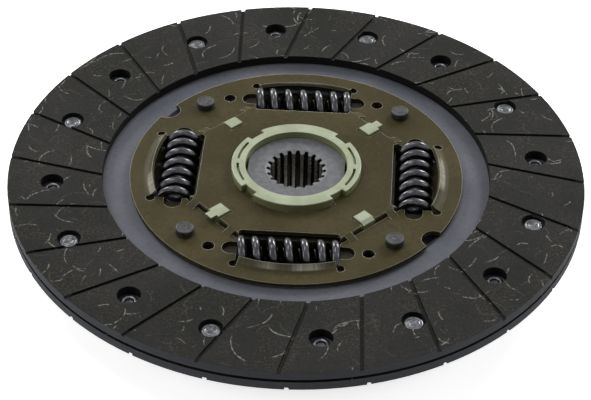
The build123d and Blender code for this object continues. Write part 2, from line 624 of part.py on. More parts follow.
def hub_flange():
    """The four-armed flange that the springs push on, notched for the stop pins."""
    outline = Circle(flange_radius)
    slot_inner = SPRING_CIRCLE_RADIUS - spring_radius - FLANGE_SLOT_CLEARANCE
    slot_outer = flange_radius + MARGIN
    spring_slot = Rectangle(slot_outer - slot_inner, 2 * window_half_length)
    outline -= around(spring_slot, (slot_outer + slot_inner) / 2, WINDOW_AXES)
    pin_room = STOP_PIN_BODY_DIAMETER / 2 + STOP_CLEARANCE
    notch_floor = pin_circle - pin_room
    notch_half = DAMPER_TRAVEL + degrees(asin(pin_room / pin_circle))
    outline -= copies(sector(flange_radius + MARGIN, notch_floor, notch_half), DIAGONALS)
    outline -= d_outline(hub_nose_radius, hub_flat)
    return upright(outline, flange_bottom, FLANGE_TOP)


# ---------------------------------------------------------------- springs


def coil_spring(outer_diameter, wire, turns, length):
    """A compression spring on Z with its tips laid in and ground flat, centred on the origin."""
    mean_radius = (outer_diameter - wire) / 2
    centre_span = length - wire + 2 * GROUND_DEPTH_IN_WIRES * wire
    tip_rise = TIP_RISE_IN_WIRES * wire
    end_rise = END_PITCH_IN_WIRES * wire
    tip_turns, end_turns = 0.25, 1.0
    active_turns = turns - 2 * (tip_turns + end_turns)
    active_rise = centre_span - 2 * (tip_rise + end_rise)
    stretches = [
        (tip_turns, tip_rise),
        (end_turns, end_rise),
        (active_turns, active_rise),
        (end_turns, end_rise),
        (tip_turns, tip_rise),
    ]
    points_per_turn = 12
    points = []
    for i in range(round(turns * points_per_turn) + 1):
        turn = i / points_per_turn
        height = -centre_span / 2
        left = turn
        for stretch_turns, stretch_rise in stretches:
            height += stretch_rise * min(left / stretch_turns, 1)
            left = max(left - stretch_turns, 0)
        angle = 2 * pi * turn
        points.append((mean_radius * cos(angle), mean_radius * sin(angle), height))
    path = Spline(points)
    section = Plane(origin=path @ 0, z_dir=path % 0) * Circle(wire / 2)
    return sweep(section, path=path, is_frenet=True) & Box(2 * outer_diameter, 2 * outer_diameter, length)


def seated_spring(spring, angle):
    """A spring laid along its window, square to the window's axis."""
    centre = Pos(SPRING_CIRCLE_RADIUS, 0, MIDDLE_PLANE + SPRING_AXIS_HEIGHT)
    return Rot(0, 0, angle) * centre * Rot(90, 0, 0) * spring


# ---------------------------------------------------------------- front friction bush


def front_friction_bush():
    """The moulded bush: a flange under the cover, a collar through it with four lobes, and four lugs."""
    flange_low = FLANGE_TOP + BUSH_RUNNING_GAP
    flange_high = cover_raised_back - BUSH_RUNNING_GAP
    above_plate = cover_raised_face + BUSH_RUNNING_GAP
    ears = around(
        Rectangle(bush_ear_reach - bush_collar_radius, BUSH_EAR_WIDTH),
        (bush_ear_reach + bush_collar_radius) / 2,
        DIAGONALS,
    )
    flange = upright(Circle(window_inner - BUSH_FLANGE_SETBACK) + ears, flange_low, flange_high)
    lobe = sector(bush_lobe_radius, MARGIN, BUSH_LOBE_HALF_ANGLE)
    crown = Circle(bush_collar_radius) + copies(lobe, WINDOW_AXES)
    head = upright(crown, above_plate, bush_top)
    head = fillet(head.edges().group_by(Axis.Z)[-1], BUSH_EDGE_FILLET)
    neck = Circle(bush_collar_radius) + copies(
        sector(bush_lobe_radius, MARGIN, BUSH_LOBE_HALF_ANGLE), BUSH_THROUGH_LOBES
    )
    body = flange + upright(neck, flange_low, above_plate) + head
    body -= disc(bush_bore_radius, flange_low, bush_top)
    slots = Sketch()
    slot_radius = bush_collar_radius - BUSH_SLOT_SETBACK
    for angle in BUSH_SLOTTED_LOBES:
        for start, end in ((BUSH_SLOT_FROM, BUSH_SLOT_TO), (-BUSH_SLOT_TO, -BUSH_SLOT_FROM)):
            slots += arc_slot(slot_radius, BUSH_SLOT_WIDTH, angle + start, angle + end)
    body -= upright(slots, bush_top - BUSH_SLOT_DEPTH, bush_top)
    body += copies(hooked_lug(flange_low), HOOKED_LUGS)
    return body + copies(ramped_lug(flange_low), RAMPED_LUGS)


def lug(bottom):
    """A square lug on X that locks the bush in the cover, with its top edges rounded."""
    block = Pos(lug_circle, 0, 0) * upright(Rectangle(LUG_SIDE, LUG_SIDE), bottom, lug_top)
    return fillet(block.edges().group_by(Axis.Z)[-1], BUSH_EDGE_FILLET)


def hooked_lug(bottom):
    """A lug with a nose that reaches outward over the cover."""
    start = lug_circle + LUG_SIDE / 2 - HOOK_NECK
    length = HOOK_REACH + HOOK_NECK
    nose = Pos(start + length / 2, 0, 0) * upright(
        Rectangle(length, HOOK_WIDTH), cover_raised_face + HOOK_GAP, lug_top
    )
    return lug(bottom) + nose


def ramped_lug(bottom):
    """A lug whose top slopes away on its outer side."""
    outer = lug_circle + LUG_SIDE / 2
    corner = [(outer - LUG_RAMP_RUN, lug_top), (outer, lug_top), (outer, lug_top - LUG_RAMP_DROP)]
    wedge = extrude(Plane.XZ * make_face(Polyline(*corner, corner[0])), amount=LUG_SIDE, both=True)
    return lug(bottom) - at_height(0) * wedge


# ---------------------------------------------------------------- rear friction parts


def friction_washer():
    """The flat friction ring that rubs on the back of the hub flange."""
    top = flange_bottom - RUNNING_GAP
    return ring(washer_outer_radius, washer_inner_radius, top - FRICTION_WASHER_THICKNESS, top)


def drive_washer():
    """The steel washer behind the friction ring, with four tabs bent back into the retainer plate."""
    top = flange_bottom - RUNNING_GAP - FRICTION_WASHER_THICKNESS
    bottom = top - DRIVE_WASHER_THICKNESS
    body = ring(washer_outer_radius, washer_inner_radius, bottom, top)
    tab = Rectangle(DRIVE_WASHER_THICKNESS, DRIVE_TAB_WIDTH)
    tabs = Sketch() + around(tab, drive_tab_radius, DIAGONALS)
    return body + upright(tabs, retainer_raised_back, top)


def wave_washer():
    """The spring washer that loads the friction ring: a thin ring bent into even waves."""
    top = flange_bottom - RUNNING_GAP - FRICTION_WASHER_THICKNESS - DRIVE_WASHER_THICKNESS
    bottom = retainer_raised_front
    swing = (top - bottom - WAVE_WASHER_SHEET) / 2
    outer = washer_outer_radius - 2 * DRIVE_WASHER_THICKNESS
    inner = washer_inner_radius
    points_per_wave = 8
    edges = []
    for radius in (inner, outer):
        points = []
        for i in range(WAVE_COUNT * points_per_wave):
            angle = 2 * pi * i / (WAVE_COUNT * points_per_wave)
            height = swing * cos(WAVE_COUNT * angle)
            points.append((radius * cos(angle), radius * sin(angle), height))
        edges.append(Spline(points, periodic=True))
    sheet = Face.make_surface_from_curves(edges[0], edges[1])
    washer = thicken(sheet, amount=WAVE_WASHER_SHEET / 2, both=True)
    return at_height((top + bottom) / 2) * washer


def rear_centring_bush():
    """The plain bush that centres the retainer plate on the hub's tail."""
    flange_low = retainer_raised_front
    flange_high = flange_low + REAR_BUSH_FLANGE_THICKNESS
    flange = ring(rear_bush_flange_radius, rear_bush_bore_radius, flange_low, flange_high)
    sleeve = ring(rear_bush_sleeve_radius, rear_bush_bore_radius, retainer_raised_back, flange_low)
    return flange + sleeve


# ---------------------------------------------------------------- the whole disc


def main():
    os.makedirs("parts", exist_ok=True)
    front_rivets = even_angles(RIVET_COUNT, FRONT_RIVET_START)
    rear_rivets = even_angles(RIVET_COUNT, REAR_RIVET_START)
    front_place = at_height(facing_back)
    turned_over = at_height(-facing_back) * Rot(180, 0, 0)
    over_rear_rivets = [-angle for angle in rear_rivets]
    over_front_rivets = [-angle for angle in front_rivets]
    write(front_place * facing(FRONT_GROOVE_START, front_rivets, rear_rivets), "front_facing")
    write(turned_over * facing(-REAR_GROOVE_START, over_rear_rivets, over_front_rivets), "rear_facing")
    write(front_place * facing_rivets(front_rivets), "front_facing_rivets")
    write(turned_over * facing_rivets(over_rear_rivets), "rear_facing_rivets")
    write(cushion_disc(), "cushion_disc")
    write(front_cover_plate(), "front_cover_plate")
    write(rear_cover_plate(), "rear_cover_plate")
    for number, angle in enumerate(DIAGONALS, start=1):
        write(stop_pin(angle), f"stop_pin_{number}")
    write(splined_hub(), "splined_hub")
    write(hub_flange(), "hub_flange")
    spring = coil_spring(SPRING_OUTER_DIAMETER, SPRING_WIRE, SPRING_TURNS, SPRING_LENGTH)
    for number, angle in enumerate(WINDOW_AXES, start=1):
        write(seated_spring(spring, angle), f"damper_spring_{number}")
    inner_spring = coil_spring(inner_spring_diameter, INNER_SPRING_WIRE, INNER_SPRING_TURNS, SPRING_LENGTH)
    for number, angle in enumerate(INNER_SPRING_WINDOWS, start=1):
        write(seated_spring(inner_spring, angle), f"inner_spring_{number}")
    write(front_friction_bush(), "front_friction_bush")
    write(friction_washer(), "friction_washer")
    write(drive_washer(), "drive_washer")
    write(wave_washer(), "wave_washer")
    write(rear_centring_bush(), "rear_centring_bush")


main()
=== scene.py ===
"""Clutch disc on a plain white table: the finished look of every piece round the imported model.

Lengths are in metres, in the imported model's own frame: Z along the hub's axis, the floor at Z = 0.
Patterns in the materials and the sizes of coils, rivets and pins are in millimetres. Colours are linear.
"""

import json
from math import cos, pi, radians, sin, tau

import bpy
from mathutils import Matrix, Vector


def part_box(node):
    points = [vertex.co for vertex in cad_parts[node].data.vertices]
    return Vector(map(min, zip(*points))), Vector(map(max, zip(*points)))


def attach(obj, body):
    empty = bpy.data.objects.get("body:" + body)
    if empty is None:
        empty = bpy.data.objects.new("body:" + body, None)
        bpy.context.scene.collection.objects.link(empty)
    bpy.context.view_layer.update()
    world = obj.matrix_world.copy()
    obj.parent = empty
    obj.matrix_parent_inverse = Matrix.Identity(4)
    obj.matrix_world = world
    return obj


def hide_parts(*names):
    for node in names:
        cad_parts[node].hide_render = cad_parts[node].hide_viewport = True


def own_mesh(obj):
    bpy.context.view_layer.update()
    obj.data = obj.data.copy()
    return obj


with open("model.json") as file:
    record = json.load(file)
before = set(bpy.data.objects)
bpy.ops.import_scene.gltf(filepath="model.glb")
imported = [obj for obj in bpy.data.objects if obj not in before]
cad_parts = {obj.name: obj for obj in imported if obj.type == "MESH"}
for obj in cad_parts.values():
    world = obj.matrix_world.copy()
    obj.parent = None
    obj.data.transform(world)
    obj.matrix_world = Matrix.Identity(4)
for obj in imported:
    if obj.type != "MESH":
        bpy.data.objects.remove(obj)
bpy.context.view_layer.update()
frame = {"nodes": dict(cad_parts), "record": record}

MM = 0.001

# ---------------------------------------------------------------- the camera and the light

# angles in degrees: round the disc from its front, above the table, and the camera's own tilt
CAMERA_PLACE = (0.03103, -0.57292, 0.49058)
CAMERA_AZIMUTH = 3.110
CAMERA_ELEVATION = 39.884
CAMERA_ROLL = 0.957
CAMERA_LENS = 120.04            # lens and sensor in millimetres
CAMERA_SENSOR = 36.0
CAMERA_NEAREST = 0.01           # the nearest thing it shows

# name: (place, width, height, watts)
SOFTBOXES = {
    "overhead_softbox": ((-0.45, 0.25, 1.55), 0.8, 0.5, 7.0),
    "back_right_softbox": ((0.75, 1.15, 0.72), 0.40, 0.40, 12.5),
    "back_left_softbox": ((-0.80, 1.10, 0.66), 0.40, 0.40, 9.0),
    "right_softbox": ((1.30, -0.05, 0.75), 0.35, 0.8, 3.0),
    "left_softbox": ((-1.30, -0.35, 0.50), 0.35, 0.8, 4.0),
}
ROOM_BRIGHT = 0.25              # the room behind and above the disc
ROOM_DIM = 0.05                 # the room low in front of it
ROOM_LEAN = 0.6                 # how much lying behind the disc counts, beside lying above it
ROOM_DIM_BELOW = 0.10
ROOM_BRIGHT_ABOVE = 1.05
FLOOR_RADIUS = 2.5
FLOOR_SIDES = 96
FLOOR_ALBEDO = 0.80
FLOOR_CAMERA_GLOW = 0.86
FLOOR_GLOW_FROM = 0.060         # radius under the disc inside which the table has no glow, a painted shade there
FLOOR_GLOW_TO = 0.098           # radius past which it has all of it


def deselect():
    """Leaves nothing selected."""
    bpy.ops.object.select_all(action="DESELECT")


deselect()


def only(piece):
    """Makes a piece the one selected and active object."""
    deselect()
    piece.select_set(True)
    bpy.context.view_layer.objects.active = piece


def named(name):
    """Names the object that an operator has just made, and returns it."""
    made = bpy.context.object
    made.name = name
    made.data.name = name
    return made


# ---------------------------------------------------------------- node helpers

FLOAT, VECTOR = "NodeSocketFloat", "NodeSocketVector"
MIX_FIRST, MIX_SECOND, MIX_RESULT = 6, 7, 2     # the colour sockets of a Mix node


def fill(tree, node, inputs):
    """Fills a node's sockets with values or links."""
    for socket, value in inputs.items():
        if isinstance(value, bpy.types.NodeSocket):
            tree.links.new(value, node.inputs[socket])
        else:
            node.inputs[socket].default_value = value


def add(tree, kind, settings=None, inputs=None):
    """Adds a node, sets its options and fills its sockets."""
    node = tree.nodes.new(kind)
    for key, value in (settings or {}).items():
        setattr(node, key, value)
    fill(tree, node, inputs or {})
    return node


def calc(tree, operation, *values):
    """The result of a Math node."""
    return add(tree, "ShaderNodeMath", {"operation": operation}, dict(enumerate(values))).outputs[0]


def times(tree, first, second):
    """The product of two values."""
    return calc(tree, "MULTIPLY", first, second)


def less_than_one(tree, value):
    """What is left of one."""
    return calc(tree, "SUBTRACT", 1.0, value)


def vector_calc(tree, operation, *values, output="Vector"):
    """The result of a Vector Math node."""
    made = add(tree, "ShaderNodeVectorMath", {"operation": operation}, dict(enumerate(values)))
    return made.outputs[output]


def ramp(tree, value, start, end):
    """0 below start and 1 above end, with a smooth rise between, as a clamped value."""
    settings = {"interpolation_type": "SMOOTHSTEP"}
    inputs = {"Value": value, "From Min": start, "From Max": end}
    return add(tree, "ShaderNodeMapRange", settings, inputs).outputs["Result"]


def spread(tree, value, low, high):
    """A value from 0 to 1 spread over a range."""
    inputs = {"Value": value, "To Min": low, "To Max": high}
    return add(tree, "ShaderNodeMapRange", {}, inputs).outputs["Result"]


def mix(tree, factor, first, second):
    """Two colours mixed by a factor."""
    inputs = {"Factor": factor, MIX_FIRST: first, MIX_SECOND: second}
    return add(tree, "ShaderNodeMix", {"data_type": "RGBA"}, inputs).outputs[MIX_RESULT]


def noise(tree, place, size, detail=3.0, roughness=0.5):
    """Noise from 0 to 1 whose features are about a size across, in millimetres."""
    inputs = {"Vector": place, "Scale": 1 / size, "Detail": detail, "Roughness": roughness}
    return add(tree, "ShaderNodeTexNoise", {}, inputs).outputs["Fac"]


def line_noise(tree, value, scale):
    """Noise from 0 to 1 along one value."""
    inputs = {"W": value, "Scale": scale, "Detail": 2.0}
    return add(tree, "ShaderNodeTexNoise", {"noise_dimensions": "1D"}, inputs).outputs["Fac"]


def parts_of(tree, vector):
    """The X, Y and Z sockets of a vector or a colour."""
    return add(tree, "ShaderNodeSeparateXYZ", {}, {0: vector}).outputs


def on_plan(tree, place):
    """A place with its height left out."""
    return vector_calc(tree, "MULTIPLY", place, (1, 1, 0))


def axis_distance(tree, place):
    """How far a place is from the hub's axis."""
    return vector_calc(tree, "LENGTH", on_plan(tree, place), output="Value")


def facing_up(tree):
    """1 on a surface that faces up, 0 on an upright one and -1 on one that faces down."""
    return parts_of(tree, add(tree, "ShaderNodeNewGeometry").outputs["True Normal"])["Z"]


def new_group(name, inputs, output):
    """An empty shader node group with its ends. Sockets are (name, kind, value); all put out a value."""
    tree = bpy.data.node_groups.new(name, "ShaderNodeTree")
    for socket_name, kind, value in inputs:
        socket = tree.interface.new_socket(socket_name, in_out="INPUT", socket_type=kind)
        socket.default_value = value
    tree.interface.new_socket(output, in_out="OUTPUT", socket_type=FLOAT)
    return tree, tree.nodes.new("NodeGroupInput").outputs, tree.nodes.new("NodeGroupOutput").inputs[output]


def place_group(tree, group, inputs):
    """The output of a group node with its inputs filled."""
    node = tree.nodes.new("ShaderNodeGroup")
    node.node_tree = group
    fill(tree, node, inputs)
    return node.outputs[0]


# ---------------------------------------------------------------- effects that several materials use

GRAIN_INPUTS = [("Place", VECTOR, (0, 0, 0)), ("Size", FLOAT, 0.3)]
EDGE_INPUTS = [("Place", VECTOR, (0, 0, 0)), ("Width", FLOAT, 0.3)]
ARC_INPUTS = [
    ("Place", VECTOR, (0, 0, 0)), ("Cell", FLOAT, 14.0), ("Radius", FLOAT, 6.0), ("Width", FLOAT, 0.25),
    ("Span", FLOAT, 0.7), ("Share", FLOAT, 0.5), ("Seed", FLOAT, 0.0),
]
BEVEL_SAMPLES = {"samples": 6}
YARN_BEND = 3.0                 # how far slow noise moves the yarn's strokes
YARN_BEND_SCALE = 0.09
STROKE_CORE = 0.4               # of a stroke's width that is at full strength
STROKE_BODY = 0.6               # of a stroke's span that is at full strength


def make_grain_group():
    """Fine even grain, from 0 to 1."""
    tree, ins, out = new_group("fine_grain", GRAIN_INPUTS, "Value")
    scale = calc(tree, "DIVIDE", 1.0, ins["Size"])
    inputs = {"Vector": ins["Place"], "Scale": scale, "Detail": 4.0, "Roughness": 0.65}
    tree.links.new(add(tree, "ShaderNodeTexNoise", {}, inputs).outputs["Fac"], out)
    return tree


def make_edge_group():
    """The edges of a piece, rubbed bright by handling and given a painted glint: 1 on an edge, 0 on a flat.
    """
    tree, ins, out = new_group("wear_and_glint_edges", EDGE_INPUTS, "Mask")
    radius = times(tree, ins["Width"], MM)
    rounded = add(tree, "ShaderNodeBevel", BEVEL_SAMPLES, {"Radius": radius}).outputs["Normal"]
    flat = add(tree, "ShaderNodeNewGeometry").outputs["True Normal"]
    turned = less_than_one(tree, vector_calc(tree, "DOT_PRODUCT", rounded, flat, output="Value"))
    broken = noise(tree, ins["Place"], 1.5, detail=4.0)
    edge = times(tree, ramp(tree, turned, 0.01, 0.12), spread(tree, broken, 0.5, 1.3))
    tree.links.new(add(tree, "ShaderNodeClamp", {}, {"Value": edge}).outputs[0], out)
    return tree


def make_arc_group():
    """Short curved strokes, one in each cell: the cut ends of yarn that show in a wound facing."""
    tree, ins, out = new_group("yarn_arcs", ARC_INPUTS, "Mask")
    flat = on_plan(tree, ins["Place"])
    seed = add(tree, "ShaderNodeCombineXYZ", {}, {"X": ins["Seed"], "Y": ins["Seed"]}).outputs[0]
    bend_inputs = {"Vector": flat, "Scale": YARN_BEND_SCALE, "Detail": 1.0}
    bend = add(tree, "ShaderNodeTexNoise", {}, bend_inputs).outputs["Color"]
    moved = vector_calc(tree, "ADD", flat, seed)
    bent = vector_calc(tree, "MULTIPLY_ADD", bend, (YARN_BEND, YARN_BEND, 0.0), moved)
    scale = calc(tree, "DIVIDE", 1.0, ins["Cell"])
    cells = add(tree, "ShaderNodeTexVoronoi", {"voronoi_dimensions": "2D"}, {"Vector": bent, "Scale": scale})
    local = vector_calc(tree, "SUBTRACT", bent, cells.outputs["Position"])
    chance = parts_of(tree, cells.outputs["Color"])

    reach = vector_calc(tree, "LENGTH", local, output="Value")
    radius = times(tree, ins["Radius"], spread(tree, chance["X"], 0.55, 1.25))
    off = calc(tree, "ABSOLUTE", calc(tree, "SUBTRACT", reach, radius))
    line = less_than_one(tree, ramp(tree, off, times(tree, ins["Width"], STROKE_CORE), ins["Width"]))

    sides = parts_of(tree, local)
    angle = calc(tree, "ARCTAN2", sides["Y"], sides["X"])
    swing = calc(tree, "PINGPONG", calc(tree, "ADD", angle, times(tree, chance["Y"], tau)), pi)
    span = times(tree, ins["Span"], spread(tree, chance["Z"], 0.5, 1.3))
    stretch = less_than_one(tree, ramp(tree, swing, times(tree, span, STROKE_BODY), span))

    drawn = calc(tree, "LESS_THAN", chance["Z"], ins["Share"])
    fibre = ramp(tree, noise(tree, bent, 1.0), 0.34, 0.66)
    mask = times(tree, times(tree, line, stretch), times(tree, drawn, fibre))
    tree.links.new(add(tree, "ShaderNodeClamp", {}, {"Value": mask}).outputs[0], out)
    return tree


# one line for each family of yarn ends: cell, radius, width, span, share drawn and seed
BRIGHT_YARN = [
    (20.0, 10.0, 0.32, 0.70, 0.85, 0.0),
    (17.0, 8.0, 0.30, 0.85, 0.80, 61.0),
    (25.0, 14.0, 0.34, 0.50, 0.90, 133.0),
    (13.0, 6.0, 0.28, 0.75, 0.70, 217.0),
    (19.0, 11.0, 0.30, 0.60, 0.80, 311.0),
]
BROWN_YARN = [
    (15.0, 8.0, 1.5, 0.9, 0.85, 407.0),
    (21.0, 12.0, 1.3, 0.7, 0.85, 503.0),
]
FAINT_YARN = [
    (11.0, 5.0, 0.35, 0.9, 0.90, 601.0),
    (16.0, 8.0, 0.40, 0.8, 0.90, 709.0),
    (23.0, 12.0, 0.40, 0.7, 0.90, 811.0),
]

FINE_GRAIN = make_grain_group()
WEAR_AND_GLINT_EDGES = make_edge_group()
YARN_ARCS = make_arc_group()


# ---------------------------------------------------------------- materials

# the cover's lips, in millimetres: their radii, and the height at which they stand clear of the plate
LIP_INNER = 54.0
LIP_OUTER = 57.4
LIP_BASE_HEIGHT = 24.9
LIP_STREAKS = 60.0              # for each radian round the hub
LIP_REFLECTION_SHARE = 0.8                 # how bright the painted reflection on a lip is, as a share of a sheared edge
RIM_FROM = 104.0                # radius past which a facing's side is its rim
BROACHED_RADIUS = 11.3          # of the hub's toothed bore
TOOTH_TIP_RADIUS = 9.8          # of the teeth in it


def tone(red, green, blue):
    """An opaque colour."""
    return red, green, blue, 1


# the colours of facings, rubbed steel, the hub's bore and the bush, some of them painted shade and glint
RESIN = (tone(0.0125, 0.0130, 0.0112), tone(0.0205, 0.0203, 0.0195))
RESIN_PITS = tone(0.007, 0.007, 0.006)
YARN_BROWN = tone(0.095, 0.080, 0.056)
YARN_FAINT = tone(0.075, 0.068, 0.054)
YARN_BRIGHT = tone(0.27, 0.26, 0.23)
# painted shade for the facings' walls inside the rim; the rim's own ground grey, partly painted light
FACING_BORE_WALL_SHADE = tone(0.008, 0.008, 0.008)
FACING_RIM_GROUND_AND_LIGHT = tone(0.075, 0.079, 0.087)
RUBBED_STEEL_GLINT = tone(0.30, 0.30, 0.31)
BROACHED_TEETH = tone(0.46, 0.44, 0.40)
BROACHED_GROOVE_SHADE = tone(0.035, 0.033, 0.030)
BUSH_TOP = (tone(0.34, 0.385, 0.245), tone(0.44, 0.485, 0.345))
BUSH_SIDE_SHADE = tone(0.23, 0.245, 0.085)
BUSH_SPECKS = tone(0.26, 0.30, 0.16)
WHITE = tone(1, 1, 1)


def start_material(name):
    """A new node material: its tree, its Principled shader and its place in millimetres."""
    material = bpy.data.materials.new(name)
    material.use_nodes = True
    tree = material.node_tree
    tree.nodes.clear()
    shader = tree.nodes.new("ShaderNodeBsdfPrincipled")
    output = tree.nodes.new("ShaderNodeOutputMaterial")
    tree.links.new(shader.outputs["BSDF"], output.inputs["Surface"])
    coordinates = tree.nodes.new("ShaderNodeTexCoord")
    place = vector_calc(tree, "SCALE", coordinates.outputs["Object"])
    place.node.inputs["Scale"].default_value = 1 / MM
    return material, tree, shader, place


def bump(tree, shader, height, distance, strength, normal=None):
    """Feeds a height, in millimetres, to the shader's normal."""
    inputs = {"Height": height, "Distance": distance * MM, "Strength": strength}
    if normal is not None:
        inputs["Normal"] = normal
    tree.links.new(add(tree, "ShaderNodeBump", {}, inputs).outputs["Normal"], shader.inputs["Normal"])


def soft_edge(tree, radius):
    """The surface normal with edges rounded by a radius in millimetres."""
    return add(tree, "ShaderNodeBevel", BEVEL_SAMPLES, {"Radius": radius * MM}).outputs["Normal"]


def grain(tree, place, size):
    """Fine grain of a size in millimetres."""
    return place_group(tree, FINE_GRAIN, {"Place": place, "Size": size})


def wear_and_glint(tree, place, width):
    """Edges rubbed bright and given a painted glint, over a width in millimetres."""
    return place_group(tree, WEAR_AND_GLINT_EDGES, {"Place": place, "Width": width})


def strokes(tree, place, layers):
    """The yarn ends of several layers together, as one mask."""
    names = ("Cell", "Radius", "Width", "Span", "Share", "Seed")
    together = None
    for layer in layers:
        arcs = place_group(tree, YARN_ARCS, {"Place": place, **dict(zip(names, layer))})
        together = arcs if together is None else calc(tree, "MAXIMUM", together, arcs)
    return together


def clouds(tree, place, size, tones, start, end, detail=3.0, roughness=0.5):
    """Two colours in soft clouds of a size in millimetres."""
    cloud = noise(tree, place, size, detail, roughness)
    return mix(tree, ramp(tree, cloud, start, end), *tones)


def facing_material(name):
    """Wound friction yarn in dark resin, ground flat: specks, and the curved ends of cut yarn."""
    material, tree, shader, place = start_material(name)
    base = clouds(tree, place, 38.0, RESIN, 0.35, 0.65, detail=2.0)
    brown = ramp(tree, noise(tree, place, 0.9, detail=4.0, roughness=0.75), 0.50, 0.64)
    patches = spread(tree, ramp(tree, noise(tree, place, 16.0, detail=2.0), 0.42, 0.62), 0.15, 0.55)
    brown_places = calc(tree, "MAXIMUM", patches, strokes(tree, place, BROWN_YARN))
    base = mix(tree, times(tree, brown, brown_places), base, YARN_BROWN)
    pits = ramp(tree, noise(tree, place, 1.1), 0.55, 0.68)
    base = mix(tree, times(tree, pits, 0.6), base, RESIN_PITS)
    base = mix(tree, times(tree, strokes(tree, place, FAINT_YARN), 0.75), base, YARN_FAINT)
    flat_face = ramp(tree, calc(tree, "ABSOLUTE", facing_up(tree)), 0.5, 0.9)
    yarn = times(tree, strokes(tree, place, BRIGHT_YARN), flat_face)
    base = mix(tree, yarn, base, YARN_BRIGHT)
    # side walls inside the rim, in the bore, grooves and rivet holes, are painted near black as shade; the
    # rim wall is its ground grey, lightened partly as painted light
    rim = ramp(tree, axis_distance(tree, place), RIM_FROM, RIM_FROM + 1.0)
    wall = mix(tree, rim, FACING_BORE_WALL_SHADE, FACING_RIM_GROUND_AND_LIGHT)
    base = mix(tree, less_than_one(tree, flat_face), base, wall)
    tree.links.new(base, shader.inputs["Base Color"])
    fine = grain(tree, place, 0.5)
    tree.links.new(spread(tree, fine, 0.55, 0.85), shader.inputs["Roughness"])
    shader.inputs["Specular IOR Level"].default_value = 0.10
    bump(tree, shader, calc(tree, "MULTIPLY_ADD", yarn, 0.8, fine), 0.06, 0.7, soft_edge(tree, 0.12))
    return material


def lip_reflection_streaks(tree, place):
    """The outward slopes of the pressed lips, given a painted reflection in streaks."""
    sides = parts_of(tree, place)
    reach = axis_distance(tree, place)
    past_inner = ramp(tree, reach, LIP_INNER - 0.6, LIP_INNER)
    inside_outer = less_than_one(tree, ramp(tree, reach, LIP_OUTER - 0.4, LIP_OUTER + 0.6))
    above = ramp(tree, sides["Z"], LIP_BASE_HEIGHT, LIP_BASE_HEIGHT + 0.4)
    along = times(tree, calc(tree, "ARCTAN2", sides["Y"], sides["X"]), LIP_STREAKS)
    streaks = spread(tree, ramp(tree, line_noise(tree, along, 1.0), 0.3, 0.7), 0.55, 1.0)
    patches = spread(tree, ramp(tree, noise(tree, place, 17.0, detail=1.0), 0.44, 0.62), 0.12, 1.0)
    lip = times(tree, times(tree, past_inner, inside_outer), above)
    return times(tree, lip, times(tree, streaks, patches))


def sheet_steel_material(name, tones, spots, stains, edge_colour, edge_share, edge_width, roughness, specular,
                         metallic=0.0, lips=False):
    """Pressed sheet steel: slow cloudy toning, fine speckle, small stains and bright sheared edges, rubbed
    and given a painted glint.
    """
    material, tree, shader, place = start_material(name)
    base = clouds(tree, place, 26.0, tones, 0.32, 0.68)
    speckle = ramp(tree, noise(tree, place, 0.8, detail=4.0, roughness=0.7), 0.55, 0.72)
    base = mix(tree, times(tree, speckle, 0.7), base, spots)
    stained = ramp(tree, noise(tree, place, 1.6, detail=5.0, roughness=0.75), 0.50, 0.66)
    base = mix(tree, times(tree, stained, 0.5), base, stains)
    # sheared edges: rubbed steel and a painted glint
    edge = wear_and_glint(tree, place, edge_width)
    # the lips' painted reflection, in streaks, joins the edges
    if lips:
        edge = calc(tree, "MAXIMUM", edge, times(tree, lip_reflection_streaks(tree, place), LIP_REFLECTION_SHARE))
    base = mix(tree, times(tree, edge, edge_share), base, edge_colour)
    tree.links.new(base, shader.inputs["Base Color"])
    shader.inputs["Metallic"].default_value = metallic
    shader.inputs["Specular IOR Level"].default_value = specular
    fine = grain(tree, place, 0.35)
    tree.links.new(spread(tree, fine, roughness - 0.10, roughness + 0.12), shader.inputs["Roughness"])
    bump(tree, shader, fine, 0.012, 0.8, soft_edge(tree, edge_width))
    return material


def broached(tree, reach):
    """The bore's walls, inside the hub: the mask of the walls, the colour of its teeth and the painted shade
    in its grooves.
    """
    outside = ramp(tree, reach, BROACHED_RADIUS, BROACHED_RADIUS + 0.3)
    level = ramp(tree, facing_up(tree), 0.3, 0.6)
    # painted shade in the grooves between the teeth
    groove_shade = ramp(tree, reach, TOOTH_TIP_RADIUS + 0.15, TOOTH_TIP_RADIUS + 0.7)
    walls = less_than_one(tree, calc(tree, "MAXIMUM", level, outside))
    return walls, mix(tree, groove_shade, BROACHED_TEETH, BROACHED_GROOVE_SHADE)


def machined_material(name, tones, metallic, roughness, line_size, edge_share, bore=False):
    """Turned steel: fine rings round an axis, a little cloudiness, bright corners of rubbed steel with a
    painted glint.
    """
    material, tree, shader, place = start_material(name)
    reach = axis_distance(tree, place)
    rings = line_noise(tree, reach, 1 / line_size)
    base = clouds(tree, place, 2.4, tones, 0.38, 0.64, detail=5.0, roughness=0.65)
    # corners rubbed bright and given a painted glint
    base = mix(tree, times(tree, wear_and_glint(tree, place, 0.25), edge_share), base, RUBBED_STEEL_GLINT)
    fine = grain(tree, place, 0.3)
    gloss = spread(tree, fine, roughness - 0.08, roughness + 0.1)
    shader.inputs["Metallic"].default_value = metallic
    if bore:
        walls, wall_colour = broached(tree, reach)
        base = mix(tree, walls, base, wall_colour)
        tree.links.new(spread(tree, walls, metallic, 0.75), shader.inputs["Metallic"])
        gloss = calc(tree, "SUBTRACT", gloss, times(tree, walls, 0.25))
    tree.links.new(base, shader.inputs["Base Color"])
    tree.links.new(gloss, shader.inputs["Roughness"])
    bump(tree, shader, calc(tree, "ADD", times(tree, rings, 0.6), fine), 0.01, 0.6, soft_edge(tree, 0.15))
    return material


